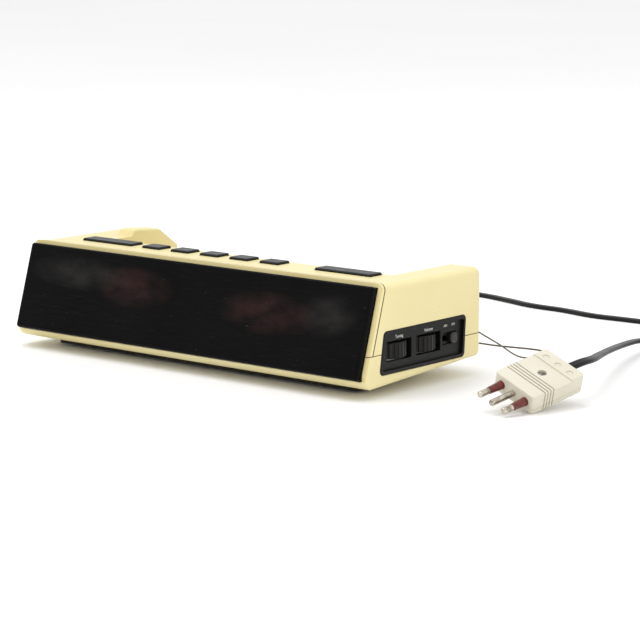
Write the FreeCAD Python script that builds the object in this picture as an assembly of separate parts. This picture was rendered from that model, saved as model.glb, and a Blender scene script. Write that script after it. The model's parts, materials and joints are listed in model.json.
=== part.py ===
import FreeCAD, Part
import math
import os

os.makedirs("parts", exist_ok=True)
V = FreeCAD.Vector

# Telephone clock radio, in millimetres. +X runs along the length towards the control side, the display
# faces -Y, +Z is up, and the origin is the middle of the housing's footprint, on the table.

# ---- driving dimensions ----
LENGTH = 287.0            # housing, end to end
REAR_Y = 57.0             # rear wall
WALL = 2.5                # moulded wall
PARTING_Z = 25.7          # height where the two shells meet
PARTING_GAP = 0.3
FRONT_LEAN = 16.7         # degrees that the display leans back
LENS_FOOT_Y = -57.08      # the lens's foot, where it meets the front
LENS_FOOT_Z = 11.52
LENS_LENGTH = 281.4
LENS_HEIGHT = 55.4        # along the lean
LENS_PROUD = 4.8
LENS_DEPTH = 1.6          # how deep the lens sits in the front
FRAME_DEPTH = 3.1         # visible depth of the front frame, then a groove
GROOVE = 0.6
FRONT_WALL = 4.0
TOP_FRONT_Z = 67.0
TOP_Z = 65.8
BASE_FRONT_Z = 5.1        # the lower shell's floor rises to the rear
BASE_REAR_Z = 11.6
CORNER_R = 5.0            # upright rear corners, in plan
SHOULDER_R = 4.8
BELLY_R = 3.0
FRONT_SIDE_R = 2.8        # the front's leaning side edges
CHIN_R = 8.0              # the front's lower edge

CRADLE_LEFT, CRADLE_RIGHT = -108.5, 122.9
CRADLE_FRONT = -4.6
CRADLE_FLOOR = 38.0
CRADLE_LIP_Z = 44.0
CUP_R, CUP_DEPTH = 21.0, 2.5

KEY_TOP_Z = 67.3
KEY_TRAVEL = 1.5
KEY_CLEARANCE = 0.35
KEY_FRONT_Y, KEY_DEPTH = -18.9, 11.6
LONG_KEY_WIDTH = 43.1
LONG_KEY_LEFTS = (-121.2, 74.0)
SHORT_KEY_LEFT, SHORT_KEY_PITCH, SHORT_KEY_WIDTH, SHORT_KEYS = -68.6, 24.67, 15.1, 5

PANEL_TOP_Z, PANEL_FOOT_Z = 38.8, 13.2
PANEL_PROUD = 0.5
PANEL_RIM = 2.2
PANEL_FIELD_X = 142.1
WINDOW_LOW_Z, WINDOW_HIGH_Z = 20.0, 32.0
TUNING_Y, VOLUME_Y, WINDOW_WIDTH = -22.9, 5.2, 23.5
WHEEL_R, WHEEL_HEIGHT, WHEEL_X = 13.0, 9.4, 131.1
SWITCH_Y, SWITCH_Z, SWITCH_KNOB = 25.5, 26.2, 6.6
SWITCH_SLOT_WIDTH, SWITCH_SLOT_HEIGHT = 13.6, 7.4
SWITCH_TRAVEL = 5.8

LINE_WIDTH, LINE_THICKNESS = 5.4, 3.0
WIRE_D = 1.0
PLUG_LENGTH, PLUG_WIDTH, PLUG_HEIGHT = 41.5, 31.8, 12.0
PLUG_CENTRE = V(226.7, -1.6, 14.8)
PLUG_YAW, PLUG_ROLL, PLUG_PITCH = -10.3, 21.9, 11.7   # how it lies, held by the twist of its flat cord
PIN_PITCH, PIN_LENGTH, PIN_R = 9.5, 18.0, 1.9

SCREW_SPOTS = [(-73.4, -22), (59.5, -22), (-97, 42), (92, 42)]
FOOT_SPOTS = [(-96, -30), (96, -30), (-79, 38), (79, 38)]
SPEAKER_X, SPEAKER_Y, SPEAKER_R, SPEAKER_Z = -26.5, 16.0, 28.0, 13.9
MAIN_BOARD_Z, PHONE_BOARD_Z, CONTROL_BOARD_Z, KEY_BOARD_Z = 16.0, 15.0, 13.4, 54.0
BOARD = 1.6
SCREW_HEAD_Z = 4.2

HALF = LENGTH / 2
LEAN = math.radians(FRONT_LEAN)
UP = V(0, math.sin(LEAN), math.cos(LEAN))
OUT = V(0, -math.cos(LEAN), math.sin(LEAN))
FOOT = V(0, LENS_FOOT_Y, LENS_FOOT_Z)


# ---- small helpers ----
def box(x0, x1, y0, y1, z0, z1):
    return Part.makeBox(x1 - x0, y1 - y0, z1 - z0, V(x0, y0, z0))


def rod(start, radius, along):
    return Part.makeCylinder(radius, along.Length, start, along)


def cone(start, r_start, r_end, along):
    return Part.makeCone(r_start, r_end, along.Length, start, along)


def joined(solids):
    first, *rest = solids
    return first.multiFuse(rest).removeSplitter() if rest else first


def group(solids):
    return Part.makeCompound(solids)


def fillet_where(solid, radius, test):
    edges = [e for e in solid.Edges if test(e)]
    return solid.makeFillet(radius, edges)


def runs_along(edge, axis):
    if not isinstance(edge.Curve, (Part.Line, Part.LineSegment)):
        return False
    step = edge.Vertexes[-1].Point - edge.Vertexes[0].Point
    return abs(abs(step.dot(axis)) - step.Length) < 1e-6


def rounding(corner, a, b, along, radius):
    """What to cut from a straight edge so as to round it; a and b lie in its faces, into the solid."""
    half = a.getAngle(b) / 2
    reach = radius / math.tan(half)
    centre = corner + (a + b).normalize() * (radius / math.sin(half))
    off_a, off_b = (a * a.dot(b) - b).normalize(), (b * a.dot(b) - a).normalize()
    on_a, on_b = corner + a * reach, corner + b * reach
    path = [corner + (off_a + off_b) * 4, on_a + off_a, on_a, centre, on_b, on_b + off_b]
    bar = Part.Face(Part.makePolygon(path + path[:1])).extrude(along)
    return bar.cut(rod(centre, radius, along))


def rounded_box(x0, x1, y0, y1, z0, z1, radius, axis=V(0, 0, 1)):
    return fillet_where(box(x0, x1, y0, y1, z0, z1), radius, lambda e: runs_along(e, axis))


def side_prism(points, x0, x1):
    corners = [V(x0, y, z) for y, z in points]
    face = Part.Face(Part.makePolygon(corners + corners[:1]))
    return face.extrude(V(x1 - x0, 0, 0))


def on_front(u, v, n):
    """A point u along the display, v up its lean from the foot of the lens, n out of it."""
    return FOOT + V(u, 0, 0) + UP * v + OUT * n


def leaning_block(u, v0, v1, n0, n1, corner=0.0):
    """A block parallel to the display, from -u to u, with rounded corners on its front outline."""
    path = [on_front(-u, v0, n0), on_front(u, v0, n0), on_front(u, v1, n0), on_front(-u, v1, n0)]
    solid = Part.Face(Part.makePolygon(path + path[:1])).extrude(OUT * (n1 - n0))
    return fillet_where(solid, corner, lambda e: runs_along(e, OUT)) if corner else solid


def front_y(z, inset=0.0):
    return LENS_FOOT_Y + (z - LENS_FOOT_Z) * math.tan(LEAN) + inset / math.cos(LEAN)


def floor_z(y):
    front = front_y(BASE_FRONT_Z)
    return BASE_FRONT_Z + (y - front) * (BASE_REAR_Z - BASE_FRONT_Z) / (REAR_Y - front)


def write(name, shape):
    shape.exportStep("parts/" + name + ".step")


# ---- housing ----
def housing_block(inset, front_inset):
    """The housing's outer form, or the same form drawn in by a wall."""
    side = HALF - inset
    rear = REAR_Y - inset
    low, high = BASE_FRONT_Z + inset, TOP_FRONT_Z - inset
    outline = [
        (front_y(low, front_inset), low),
        (front_y(high, front_inset), high),
        (front_y(high, front_inset) + 11.0, TOP_Z - inset),
        (rear, TOP_Z - inset),
        (rear, BASE_REAR_Z + inset),
    ]
    solid = side_prism(outline, -side, side)

    def upright_rear(e):
        return runs_along(e, V(0, 0, 1)) and e.Vertexes[0].Point.y > rear - 0.1

    def on_shoulder(e):
        return all(v.Point.z > TOP_Z - inset - 0.01 for v in e.Vertexes) and not front_line(e)

    def on_belly(e):
        return all(v.Point.z < floor_z(v.Point.y) + inset + 0.3 for v in e.Vertexes)

    def front_line(e):
        return runs_along(e, V(1, 0, 0)) and e.Vertexes[0].Point.y < rear - 1

    solid = fillet_where(solid, CORNER_R - inset, upright_rear)
    solid = fillet_where(solid, SHOULDER_R - inset, on_shoulder)
    solid = fillet_where(solid, max(BELLY_R - inset, 0.5), on_belly)
    foot = V(-side - 5, front_y(low, front_inset), low)
    rearward = V(0, rear - foot.y, BASE_REAR_Z - BASE_FRONT_Z).normalize()
    cuts = [rounding(foot, UP, rearward, V(2 * side + 10, 0, 0), CHIN_R - inset)]
    if FRONT_SIDE_R > inset + 0.5:
        for toward in (-1, 1):
            edge = V(toward * side, front_y(-10, front_inset), -10)
            cuts.append(rounding(edge, V(-toward, 0, 0), OUT * -1, UP * 100, FRONT_SIDE_R - inset))
    return solid.cut(group(cuts))


def cradle_cut(grow):
    """The handset's cradle: an open trough with a low rear lip and two round cups."""
    left, right = CRADLE_LEFT - grow, CRADLE_RIGHT + grow
    front, floor = CRADLE_FRONT - grow, CRADLE_FLOOR - grow
    rear = 80 if grow else REAR_Y - WALL
    trough = rounded_box(left, right, front, rear, floor, 90, 5.0 + grow)
    over_lip = rounded_box(left, right, front, 80, CRADLE_LIP_Z - grow, 90, 5.0 + grow)
    cups = [
        rod(V(x, 24, floor - CUP_DEPTH), CUP_R + grow, V(0, 0, CUP_DEPTH + 1))
        for x in (CRADLE_LEFT + 33, CRADLE_RIGHT - 33)
    ]
    return joined([trough, over_lip] + cups)


def ear_hump():
    """A low rounded ridge on the left ear, beside the earpiece's end of the cradle."""
    crest = [(12.5, 64.0), (16.5, 69.6), (20.0, 70.0), (47.5, 67.6), (50.5, 64.0)]
    ridge = side_prism(crest, CRADLE_LEFT - 13.0, CRADLE_LEFT)
    return fillet_where(ridge, 1.5, lambda e: e.BoundBox.ZMin > 65)


def left_ear_slope(grow):
    """What the left ear's top loses behind its ridge, where it slopes down to the rear wall."""
    slope = [(37.0 - grow, 90.0), (37.0 - grow, 70.0 - grow), (REAR_Y + 1.0, 55.0 - grow * 1.3), (REAR_Y + 1.0, 90.0)]
    return side_prism(slope, -HALF - 5, CRADLE_LEFT + 10)


def bosses(z0, z1, radius):
    return [rod(V(x, y, z0), radius, V(0, 0, z1 - z0)) for x, y in SCREW_SPOTS]


BLOCK = housing_block(0.0, 0.0)
CAVITY = housing_block(WALL, FRONT_WALL)
ABOVE = box(-200, 200, -100, 100, PARTING_Z + PARTING_GAP / 2, 120)
BELOW = box(-200, 200, -100, 100, -20, PARTING_Z - PARTING_GAP / 2)
LENS_POCKET = leaning_block(LENS_LENGTH / 2 + 0.15, -0.15, LENS_HEIGHT + 0.15, -LENS_DEPTH - 0.1, 20)
DISPLAY_WINDOW = leaning_block(LENS_LENGTH / 2 - 4, 3.0, LENS_HEIGHT - 3.0, -20, 20)
FRAME_SLAB = leaning_block(200, -40, 90, -FRAME_DEPTH, 20)
GROOVE_SLAB = leaning_block(200, -40, 90, -FRAME_DEPTH - GROOVE, -FRAME_DEPTH)
TONGUE_SLAB = leaning_block(200, -40, 90, -FRONT_WALL - 2.5, -FRAME_DEPTH - GROOVE)
FRONT_SLAB = leaning_block(200, -40, 90, -FRAME_DEPTH - GROOVE, 20)


def panel_outline(grow):
    """The control panel's outline on the side: its front edge leans with the display."""
    lean_top, lean_foot = -39.0, -43.1
    return [
        (lean_foot - grow, PANEL_FOOT_Z - grow),
        (38.8 + grow, PANEL_FOOT_Z - grow),
        (40.4 + grow, PANEL_TOP_Z + grow),
        (lean_top - grow, PANEL_TOP_Z + grow),
    ]


def panel_block(grow, x0, x1, corner):
    solid = side_prism(panel_outline(grow), x0, x1)
    return fillet_where(solid, corner, lambda e: runs_along(e, V(1, 0, 0)))


def key_spans():
    """Name, left edge and width of each key cap, from the left."""
    spans = [("left_bar_key", LONG_KEY_LEFTS[0], LONG_KEY_WIDTH)]
    for i in range(SHORT_KEYS):
        left = SHORT_KEY_LEFT + i * SHORT_KEY_PITCH
        spans.append((f"function_key_{i + 1}", left, SHORT_KEY_WIDTH))
    spans.append(("right_bar_key", LONG_KEY_LEFTS[1], LONG_KEY_WIDTH))
    return spans


def key_opening(left, width):
    y0, y1 = KEY_FRONT_Y - KEY_CLEARANCE, KEY_FRONT_Y + KEY_DEPTH + KEY_CLEARANCE
    return box(left - KEY_CLEARANCE, left + width + KEY_CLEARANCE, y0, y1, 50, 80)


REAR_EXITS_Z = 30.5
LINE_EXIT_X, WIRE_EXIT_X, MAINS_X = -66.5, 120.5, 55.5
JACK_Y, JACK_Z = -22.0, 32.0
HOOK_X, HOOK_Y = 53.5, 24.0
HOOK_PROUD = 5.0
HOOK_TRAVEL = 3.0


def shell_walls():
    openings = [key_opening(left, width) for _, left, width in key_spans()]
    openings.append(panel_block(0.2, HALF - WALL - 1, 160, 3.2))
    openings.append(rod(V(LINE_EXIT_X, 45, REAR_EXITS_Z), 3.4, V(0, 20, 0)))
    openings.append(rod(V(WIRE_EXIT_X, 45, REAR_EXITS_Z), 1.6, V(0, 20, 0)))
    openings.append(box(MAINS_X - 8.2, MAINS_X + 8.2, 45, 70, REAR_EXITS_Z - 4.2, REAR_EXITS_Z + 4.2))
    openings.append(box(-160, -133.5, JACK_Y - 6.2, JACK_Y + 6.2, JACK_Z - 5.2, JACK_Z + 5.2))
    openings.append(box(HOOK_X - 7.3, HOOK_X + 7.3, HOOK_Y - 3.3, HOOK_Y + 3.3, 30, 45))
    body = BLOCK.cut(cradle_cut(0.0)).fuse(ear_hump()).cut(left_ear_slope(0.0))
    hollow = CAVITY.cut(cradle_cut(WALL)).cut(left_ear_slope(WALL))
    return body.cut(hollow).cut(group(openings)).cut(DISPLAY_WINDOW).cut(LENS_POCKET)


WALLS = shell_walls()


def upper_shell():
    shell = WALLS.common(ABOVE).cut(FRONT_SLAB)
    # the frame's tongue slides in behind the front edge
    shell = shell.cut(frame_tongue(0.15))
    posts = [p.common(CAVITY).cut(cradle_cut(0.0)) for p in bosses(PARTING_Z - 6, 64, 3.6)]
    return joined([shell] + posts).cut(group(bosses(PARTING_Z - 7, PARTING_Z + 8, 1.25)))


def frame_tongue(grow):
    ring = housing_block(2.7 - grow, 0.0).common(TONGUE_SLAB).common(ABOVE)
    return ring.cut(leaning_block(LENS_LENGTH / 2 - 4 - grow, 3.0 + grow - 20, LENS_HEIGHT - 3 - grow, -20, 20))


def front_frame():
    """The moulded surround of the lens: top and both sides, down to where the shells meet."""
    lip = BLOCK.common(FRAME_SLAB)
    neck = housing_block(0.8, 0.0).common(GROOVE_SLAB)
    ring = joined([lip, neck]).common(ABOVE)
    ring = joined([ring, frame_tongue(0.0)])
    return ring.cut(LENS_POCKET).cut(DISPLAY_WINDOW)


def standoffs():
    """Short posts that carry the boards: x, y, and the height of the board on them."""
    spots = [(x, y, MAIN_BOARD_Z) for x in (-100.5, 85.5) for y in (-34, -17)]
    spots += [(x, y, PHONE_BOARD_Z) for x in (37.5, 95.5) for y in (-4, 30)]
    spots += [(x, y, CONTROL_BOARD_Z) for x in (118.5, 135.5) for y in (-33, 26)]
    return [rod(V(x, y, 0), 2.4, V(0, 0, top)).common(CAVITY) for x, y, top in spots]


def lower_shell():
    shell = WALLS.common(BELOW)
    posts = [p.common(CAVITY) for p in bosses(0, PARTING_Z - 6.2, 4.2)]
    collar = rod(V(SPEAKER_X, SPEAKER_Y, 0), SPEAKER_R, V(0, 0, SPEAKER_Z)).common(CAVITY)
    collar = collar.cut(rod(V(SPEAKER_X, SPEAKER_Y, 0), SPEAKER_R - 2, V(0, 0, 20)))
    shell = joined([shell] + posts + standoffs() + [collar])
    return shell.cut(group(bosses(-5, 40, 1.7) + speaker_slots(0, SPEAKER_Z)))


def base_plate():
    """The dark plinth under the lower shell, set in from the housing's edges and narrower at the rear."""
    half, narrowing, front, rear, foot = 127.5, 0.32, -40.0, 48.0, 1.5
    outline = [(front, foot), (rear, foot), (rear, floor_z(rear)), (front, floor_z(front))]
    plate = side_prism(outline, -half, half)
    rear_half = half - narrowing * (rear - front)
    plan = [V(-half, front, 0), V(half, front, 0), V(rear_half, rear, 0), V(-rear_half, rear, 0)]
    plate = plate.common(Part.Face(Part.makePolygon(plan + plan[:1])).extrude(V(0, 0, 40)))
    plate = fillet_where(plate, 6.0, lambda e: runs_along(e, V(0, 0, 1)))
    pockets = []
    for y in (-33, 8):
        reach = half - narrowing * (y + 30 - front) - 3
        for i in range(7):
            left = -107.3 + i * 31.6
            clear_of_speaker = abs(left + 12.5 - SPEAKER_X) > 42
            if clear_of_speaker and max(-left, left + 25) < reach:
                pockets.append(box(left, left + 25, y, y + 30, foot + 2.0, 30))
    around = bosses(0, 30, 6) + [rod(V(x, y, 0), 7, V(0, 0, 20)) for x, y in FOOT_SPOTS]
    plate = plate.cut(group(pockets).cut(group(around)))
    sinks = [rod(V(x, y, 0), 5.2, V(0, 0, 2.2)) for x, y in FOOT_SPOTS]
    ways = bosses(-5, 30, 1.7) + bosses(-5, SCREW_HEAD_Z, 3.2)
    return plate.cut(group(ways + sinks)).cut(group(speaker_slots(0, 20)))


def speaker_slots(z0, z1):
    slots = []
    pitch, reach_r = 5.0, 24.0
    for i in range(-4, 5):
        reach = math.sqrt(reach_r ** 2 - (i * pitch) ** 2)
        x = SPEAKER_X + i * pitch
        slots.append(box(x - 1.1, x + 1.1, SPEAKER_Y - reach, SPEAKER_Y + reach, z0, z1))
    return slots


def feet():
    return group([rod(V(x, y, 0), 5.0, V(0, 0, 2.2)) for x, y in FOOT_SPOTS])


def housing_screws():
    screws = []
    for x, y in SCREW_SPOTS:
        head = rod(V(x, y, SCREW_HEAD_Z - 2), 2.9, V(0, 0, 2))
        shank = rod(V(x, y, SCREW_HEAD_Z - 0.5), 1.2, V(0, 0, 26))
        slot = box(x - 3, x + 3, y - 0.4, y + 0.4, 0, SCREW_HEAD_Z - 1.1)
        cross = box(x - 0.4, x + 0.4, y - 3, y + 3, 0, SCREW_HEAD_Z - 1.1)
        screws.append(joined([head, shank]).cut(group([slot, cross])))
    return group(screws)


# ---- display ----
MASK_BACK, LED_FRONT = -10.0, -5.0
DIGIT_SPOTS = {"left_led_display": -61.1, "right_led_display": 46.5}


def display_lens():
    lens = leaning_block(LENS_LENGTH / 2, 0, LENS_HEIGHT, -LENS_DEPTH, LENS_PROUD, 2.0)
    face = FOOT.dot(OUT) + LENS_PROUD
    front_edges = [e for e in lens.Edges if all(abs(v.Point.dot(OUT) - face) < 1e-4 for v in e.Vertexes)]
    return lens.makeFillet(1.7, front_edges)


def display_mask():
    """A black baffle between the lens and the display board."""
    ring = leaning_block(115.5, 3.5, 51.5, MASK_BACK, -FRONT_WALL - 0.05)
    return ring.cut(leaning_block(112.5, 6.0, 49.0, -20, 0))


def display_board():
    return leaning_block(115.5, 5.0, 50.0, MASK_BACK - BOARD, MASK_BACK)


def led_display(u):
    """A four-digit module: a tray with seven-segment windows cut into its face."""
    width, low, high = 37.0, 17.0, 44.0
    tray = leaning_block(width, low, high, MASK_BACK, LED_FRONT)
    tray.translate(V(u, 0, 0))
    bars = []
    for i in range(4):
        centre = u + (i - 1.5) * 17.0
        for v in (20.5, 30.5, 40.5):
            bars.append(front_bar(centre, v, 5.0, 1.0))
        for side in (-5.8, 5.8):
            bars += [front_bar(centre + side, v, 1.0, 3.8) for v in (25.5, 35.5)]
    return tray.cut(group(bars))


def front_bar(u, v, half_u, half_v):
    bar = leaning_block(half_u, v - half_v, v + half_v, LED_FRONT - 0.6, LED_FRONT + 1)
    bar.translate(V(u, 0, 0))
    return bar


# ---- keys ----
def key(left, width):
    y0, y1 = KEY_FRONT_Y, KEY_FRONT_Y + KEY_DEPTH
    under = TOP_Z - WALL - 0.3
    cap = box(left, left + width, y0, y1, under - 0.5, KEY_TOP_Z)
    cap = fillet_where(cap, 1.0, lambda e: runs_along(e, V(0, 0, 1)))
    top = [e for e in cap.Edges if all(abs(v.Point.z - KEY_TOP_Z) < 1e-4 for v in e.Vertexes)]
    cap = cap.makeChamfer(0.6, top)
    flange = box(left - 0.8, left + width + 0.8, y0 - 1.2, y1, under - 1.5, under)
    hollow = box(left + 1.2, left + width - 1.2, y0 + 1.2, y1 - 1.2, 55, KEY_TOP_Z - 1.6)
    ribs = [box(x - 2.2, x + 2.2, y0 + 1.1, y1 - 1.1, under - 1.5, KEY_TOP_Z - 1.5)
            for x in switch_spots(left, width)]
    return joined([joined([cap, flange]).cut(hollow)] + ribs)


def switch_spots(left, width):
    middle = left + width / 2
    return [middle - 14, middle + 14] if width > 30 else [middle]


def key_board():
    board = box(-119.5, 120.5, -25.3, CRADLE_FRONT - WALL, KEY_BOARD_Z, KEY_BOARD_Z + BOARD)
    return board.cut(group(bosses(50, 60, 3.9)))


def key_switches():
    y = KEY_FRONT_Y + KEY_DEPTH / 2
    top = KEY_BOARD_Z + BOARD
    button_top = TOP_Z - WALL - 0.3 - 1.5 - KEY_TRAVEL - 0.1
    switches = []
    for _, left, width in key_spans():
        for x in switch_spots(left, width):
            body = box(x - 3, x + 3, y - 3, y + 3, top, button_top - 0.8)
            switches.append(joined([body, rod(V(x, y, top), 1.7, V(0, 0, button_top - top))]))
    return group(switches)


# ---- control side ----
def control_panel():
    panel = panel_block(0.0, HALF - WALL - 0.1, HALF + PANEL_PROUD, 3.0)
    rim = [e for e in panel.Edges if all(abs(v.Point.x - HALF - PANEL_PROUD) < 1e-4 for v in e.Vertexes)]
    panel = panel.makeFillet(0.8, rim)
    panel = panel.cut(panel_block(-PANEL_RIM, PANEL_FIELD_X, 160, 1.6))
    behind_wall = box(0, HALF, -34.5, 39, 14.5, 80)
    flange = panel_block(2.0, HALF - WALL - 2.2, HALF - WALL, 3.0).common(behind_wall)
    windows = [box(133.5, 160, y - WINDOW_WIDTH / 2, y + WINDOW_WIDTH / 2, WINDOW_LOW_Z, WINDOW_HIGH_Z)
               for y in (TUNING_Y, VOLUME_Y)]
    half_w, half_h = SWITCH_SLOT_WIDTH / 2, SWITCH_SLOT_HEIGHT / 2
    pocket = box(HALF - WALL - 0.2, 160,
                 SWITCH_Y - half_w, SWITCH_Y + half_w, SWITCH_Z - half_h, SWITCH_Z + half_h)
    slot = box(133.5, 160, SWITCH_Y - 5.2, SWITCH_Y + 5.2, SWITCH_Z - 1.6, SWITCH_Z + 1.6)
    return joined([panel, flange]).cut(group(windows + [pocket, slot]))


def thumbwheel(y):
    """A thick disc on an upright axis, with coarse ribs round its rim."""
    low = (WINDOW_LOW_Z + WINDOW_HIGH_Z - WHEEL_HEIGHT) / 2
    disc = rod(V(WHEEL_X, y, low), WHEEL_R, V(0, 0, WHEEL_HEIGHT))
    disc = disc.makeChamfer(0.5, [e for e in disc.Edges if isinstance(e.Curve, Part.Circle)])
    grooves = []
    count, groove_r = 26, 0.75
    for i in range(count):
        a = 2 * math.pi * i / count
        spot = V(WHEEL_X + WHEEL_R * math.cos(a), y + WHEEL_R * math.sin(a), low - 1)
        grooves.append(rod(spot, groove_r, V(0, 0, WHEEL_HEIGHT + 2)))
    shaft = rod(V(WHEEL_X, y, CONTROL_TOP_Z + 1.5), 1.8, V(0, 0, low + 1 - CONTROL_TOP_Z - 1.5))
    return joined([disc.cut(group(grooves)), shaft])


WHEEL_LOW_Z = (WINDOW_LOW_Z + WINDOW_HIGH_Z - WHEEL_HEIGHT) / 2
CONTROL_TOP_Z = CONTROL_BOARD_Z + BOARD


def shaft_hole(y):
    return rod(V(WHEEL_X, y, CONTROL_TOP_Z + 1), 2.1, V(0, 0, 20))


def tuning_capacitor():
    half, top = 7.5, WHEEL_LOW_Z - 0.5
    case = rounded_box(WHEEL_X - half, WHEEL_X + half, TUNING_Y - half, TUNING_Y + half,
                       CONTROL_TOP_Z, top, 1.2)
    return case.cut(shaft_hole(TUNING_Y))


def volume_potentiometer():
    top = WHEEL_LOW_Z - 0.5
    can = rod(V(WHEEL_X, VOLUME_Y, CONTROL_TOP_Z), 7.4, V(0, 0, top - CONTROL_TOP_Z))
    return can.cut(shaft_hole(VOLUME_Y))


def band_switch():
    body = box(127.5, HALF - WALL - 2.6, SWITCH_Y - 6.8, SWITCH_Y + 6.8, CONTROL_TOP_Z, SWITCH_Z + 4)
    return body.cut(box(133.5, 143.5, SWITCH_Y - 5.4, SWITCH_Y + 5.4, SWITCH_Z - 2.2, SWITCH_Z + 2.2))


def band_knob():
    y = SWITCH_Y + SWITCH_TRAVEL / 2
    half = SWITCH_KNOB / 2
    cap = rounded_box(HALF - WALL + 0.1, HALF + 0.6, y - half, y + half, SWITCH_Z - half, SWITCH_Z + half,
                      2.2, V(1, 0, 0))
    face = [e for e in cap.Edges if all(abs(v.Point.x - HALF - 0.6) < 1e-4 for v in e.Vertexes)]
    cap = cap.makeFillet(0.9, face)
    stem = box(134.5, HALF - WALL + 0.2, y - 2, y + 2, SWITCH_Z - 1.3, SWITCH_Z + 1.3)
    return joined([cap, stem])


def control_board():
    return box(114.5, 138.5, -35.5, 34.5, CONTROL_BOARD_Z, CONTROL_TOP_Z)


# ---- boards and what is on them ----
def main_board():
    board = box(-104.5, 93.5, -37, -14, MAIN_BOARD_Z, MAIN_BOARD_Z + BOARD)
    return board.cut(group(bosses(10, 20, 4.5)))


def phone_board():
    return box(33.5, 99.5, -8, 34, PHONE_BOARD_Z, PHONE_BOARD_Z + BOARD)


MAIN_TOP_Z = MAIN_BOARD_Z + BOARD
PHONE_TOP_Z = PHONE_BOARD_Z + BOARD


def chip(x, y, length, width, top):
    body = box(x - length / 2, x + length / 2, y - width / 2, y + width / 2, top + 0.6, top + 4.2)
    legs = []
    pins = int(length // 2.54)
    for i in range(pins):
        leg_x = x + (i - (pins - 1) / 2) * 2.54
        for side in (-1, 1):
            edge = y + side * (width / 2 + 0.3)
            legs.append(box(leg_x - 0.3, leg_x + 0.3, edge - 0.3, edge + 0.3, top, top + 2.4))
    return joined([body] + legs)


def clock_chip():
    return chip(-38, -27, 50.8, 13.6, MAIN_TOP_Z)


def small_chips():
    return group([chip(7.5, -27, 20.3, 6.6, MAIN_TOP_Z), chip(65.5, 2, 20.3, 6.6, PHONE_TOP_Z)])


def intermediate_cans():
    return group([rounded_box(x, x + 7.5, -24, -16.5, MAIN_TOP_Z, MAIN_TOP_Z + 11, 0.6) for x in (26, 36, 46)])


def filter_capacitors():
    spots = [(-96.5, -25, 5.0, 12), (-85, -25, 4.0, 10), (72.5, -25, 5.0, 12), (84.5, -25, 4.0, 10)]
    cans = []
    for x, y, radius, height in spots:
        can = rod(V(x, y, MAIN_TOP_Z), radius, V(0, 0, height))
        cans.append(can.makeFillet(0.6, [can.Edges[0]]))
    return group(cans)


ROD_Y, ROD_Z, ROD_R = -21.0, 44.0, 4.0


def ferrite_rod():
    return rod(V(-66.5, ROD_Y, ROD_Z), ROD_R, V(110, 0, 0))


def antenna_coil():
    sleeve = rod(V(-56.5, ROD_Y, ROD_Z), ROD_R + 1.1, V(30, 0, 0))
    rings = [rod(V(-54.5 + i * 2.6, ROD_Y, ROD_Z), ROD_R + 1.6, V(1.8, 0, 0)) for i in range(10)]
    return joined([sleeve] + rings).cut(rod(V(-76.5, ROD_Y, ROD_Z), ROD_R, V(60, 0, 0)))


def rod_clips():
    clips = []
    for x in (-7.6, 21.5):
        post = box(x - 2, x + 2, ROD_Y - 5.5, ROD_Y + 5.5, 30, ROD_Z + 2)
        foot = box(x - 2, x + 2, ROD_Y + 1, ROD_Y + 5.5, MAIN_TOP_Z, 30)
        clips.append(joined([post, foot]).cut(rod(V(x - 5, ROD_Y, ROD_Z), ROD_R, V(10, 0, 0))))
    return group(clips)


def turned(outline, x, y):
    """A solid turned about an upright axis, from radius and height pairs."""
    corners = [V(x + r, y, z) for r, z in outline]
    face = Part.Face(Part.makePolygon(corners + corners[:1]))
    return face.revolve(V(x, y, 0), V(0, 0, 1), 360)


def speaker_frame():
    z = SPEAKER_Z
    basket = turned([(28, z), (28, z + 1.4), (25.6, z + 1.4), (13, z + 10.2), (2, z + 10.2),
                     (2, z + 9.4), (12.4, z + 9.4), (24.4, z + 1.0), (24.4, z)], SPEAKER_X, SPEAKER_Y)
    holes = []
    for i in range(6):
        a = math.radians(60 * i + 30)
        spot = V(SPEAKER_X + 19 * math.cos(a), SPEAKER_Y + 19 * math.sin(a), z + 2.2)
        holes.append(rod(spot, 3.4, V(0, 0, 12)))
    return basket.cut(group(holes))


def speaker_cone():
    z = SPEAKER_Z
    return turned([(24.3, z + 0.1), (24.3, z + 0.5), (8, z + 7.4), (1, z + 5.4), (1, z + 5.0), (7.6, z + 6.8),
                   (22, z + 0.1)], SPEAKER_X, SPEAKER_Y)


def speaker_magnet():
    return rod(V(SPEAKER_X, SPEAKER_Y, SPEAKER_Z + 10.2), 12.0, V(0, 0, 7))


def transformer_core():
    core = box(-138, -114, -12, 30, 14, 49)
    return core.cut(group([box(-150, -110, -2, 4, 20, 43), box(-150, -110, 14, 20, 20, 43)]))


def transformer_winding():
    return box(-140.7, -111.3, -2, 20, 20, 43).cut(transformer_core())


def ringer():
    return turned([(0.0, PHONE_TOP_Z), (11, PHONE_TOP_Z), (11, PHONE_TOP_Z + 5), (3, PHONE_TOP_Z + 5),
                   (3, PHONE_TOP_Z + 4), (0.0, PHONE_TOP_Z + 4)], 85.5, 14)


# ---- hook switch ----
HOOK_FLANGE_TOP = CRADLE_FLOOR - WALL - 0.3
HOOK_BODY_TOP = 26.6


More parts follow.
